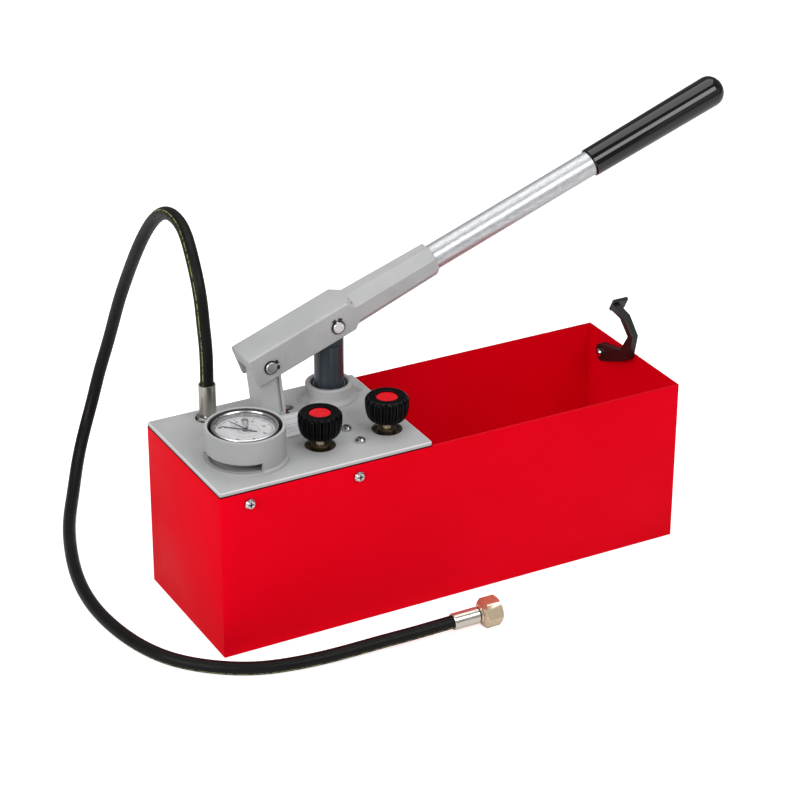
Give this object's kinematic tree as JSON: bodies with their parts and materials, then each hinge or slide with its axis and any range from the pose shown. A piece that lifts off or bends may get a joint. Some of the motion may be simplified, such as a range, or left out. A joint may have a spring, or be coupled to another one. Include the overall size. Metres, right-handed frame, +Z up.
{
  "type": "hydrostatic test pump",
  "caption": "Hand lever pump on an open water tank, with a gauge in a cup, valve knobs, a locking hook and a stiff pressure hose, for pressure testing pipework.",
  "frame": {"origin": "centre of the tank's underside", "axes": "+X from the pump head to the tank's open end, +Y from the front to the back, +Z up"},
  "size_m": [0.7289, 0.5283, 0.4451],
  "materials": {
    "red_paint": "gloss baked enamel",
    "cast_grey": "silver-grey painted casting",
    "zinc": "bright zinc plate",
    "nickel": "nickel plate",
    "yellow_zinc": "yellow passivated zinc",
    "brass": "machined",
    "chrome": "polished",
    "dark_steel": "dark",
    "piston_steel": "blued, ground",
    "black_metal": "phosphated",
    "black_plastic": "moulded",
    "gloss_black": "dipped vinyl",
    "red_plastic": "moulded, blank",
    "rubber": "matt black",
    "white": "white, printed scale, no lettering",
    "clear": "clear",
    "label_silver": "satin, blank"
  },
  "bodies": {
    "pump": {"tank": "red_paint", "tank_screw_1": "zinc", "tank_screw_2": "zinc", "tank_screw_3": "zinc", "tank_screw_4": "zinc", "head_plate": "cast_grey", "plate_screw_1": "zinc", "plate_screw_2": "zinc", "label_plate": "label_silver", "gauge_case": "dark_steel", "gauge_bezel": "chrome", "gauge_window": "clear", "gauge_dial": "white", "gauge_socket": "brass", "bourdon_tube": "brass", "gauge_movement": "brass", "valve_block": "brass", "valve_gland_1": "brass", "valve_gland_2": "brass", "pump_barrel": "dark_steel", "scraper_ring": "rubber", "foot_valve": "brass", "inlet_ball": "chrome", "inlet_strainer": "brass", "link_pin": "zinc", "hook_screw": "zinc", "hook_nut": "zinc", "hose": "rubber", "hose_adapter": "zinc", "hose_ferrule_upper": "nickel", "hose_ferrule_lower": "nickel", "hose_tail": "dark_steel", "nut_seal": "rubber"},
    "link": {"link": "cast_grey"},
    "lever": {"lever_casting": "cast_grey", "lever_tube": "zinc", "grip": "gloss_black", "lever_pin": "zinc", "piston_pin": "zinc", "circlip_1": "black_metal", "circlip_2": "black_metal", "circlip_3": "black_metal", "circlip_4": "black_metal"},
    "piston": {"piston": "piston_steel", "piston_seal": "rubber"},
    "stem_1": {"valve_stem_1": "brass"},
    "stem_2": {"valve_stem_2": "brass"},
    "knob_1": {"knob_1": "black_plastic", "knob_cap_1": "red_plastic"},
    "knob_2": {"knob_2": "black_plastic", "knob_cap_2": "red_plastic"},
    "gauge_hand": {"gauge_pointer": "black_metal"},
    "max_hand": {"max_pointer": "black_metal"},
    "hook": {"hook": "black_plastic"},
    "swivel": {"swivel_nut": "yellow_zinc"}
  },
  "joints": [
    {"name": "lever_pivot", "type": "hinge", "parent": "link", "child": "lever", "pos_m": [-0.14754, 0.051, 0.238], "axis": [0, -1, 0], "range_deg": [-34.6, 23.5]},
    {"name": "link_swing", "type": "hinge", "parent": "pump", "child": "link", "pos_m": [-0.13964, 0.051, 0.166], "axis": [0, -1, 0], "range_deg": [-5.8, 8.6]},
    {"name": "piston_slide", "type": "slide", "parent": "pump", "child": "piston", "axis": [0, 0, 1], "range_m": [-0.0353, 0.0239]},
    {"name": "stem_slide_1", "type": "slide", "parent": "pump", "child": "stem_1", "axis": [0, 0, 1], "range_m": [0, 0.00226]},
    {"name": "knob_turn_1", "type": "hinge", "parent": "stem_1", "child": "knob_1", "pos_m": [-0.1293, -0.0394, 0.2], "axis": [0, 0, 1], "range_deg": [0, 540]},
    {"name": "stem_slide_2", "type": "slide", "parent": "pump", "child": "stem_2", "axis": [0, 0, 1], "range_m": [0, 0.00226]},
    {"name": "knob_turn_2", "type": "hinge", "parent": "stem_2", "child": "knob_2", "pos_m": [-0.0559, -0.0394, 0.2], "axis": [0, 0, 1], "range_deg": [0, 540]},
    {"name": "gauge_hand_turn", "type": "hinge", "parent": "pump", "child": "gauge_hand", "pos_m": [-0.204, -0.028, 0.208], "axis": [0, 0, -1], "range_deg": [0, 270]},
    {"name": "max_hand_turn", "type": "hinge", "parent": "pump", "child": "max_hand", "pos_m": [-0.204, -0.028, 0.208], "axis": [0, 0, -1], "range_deg": [-25, 245]},
    {"name": "hook_pivot", "type": "hinge", "parent": "pump", "child": "hook", "pos_m": [0.2522, 0.0485, 0.1575], "axis": [-1, 0, 0], "range_deg": [-20, 45]},
    {"name": "nut_turn", "type": "hinge", "parent": "pump", "child": "swivel", "pos_m": [0.004, -0.1493, 0.0135], "axis": [1, 0, 0], "continuous": true}
  ],
  "couplings": [
    {"joint": "link_swing", "follows": "lever_pivot", "ratio": -0.2414},
    {"joint": "piston_slide", "follows": "lever_pivot", "m_per_rad": 0.0578},
    {"joint": "stem_slide_1", "follows": "knob_turn_1", "m_per_rad": 0.00023873},
    {"joint": "stem_slide_2", "follows": "knob_turn_2", "m_per_rad": 0.00023873}
  ]
}
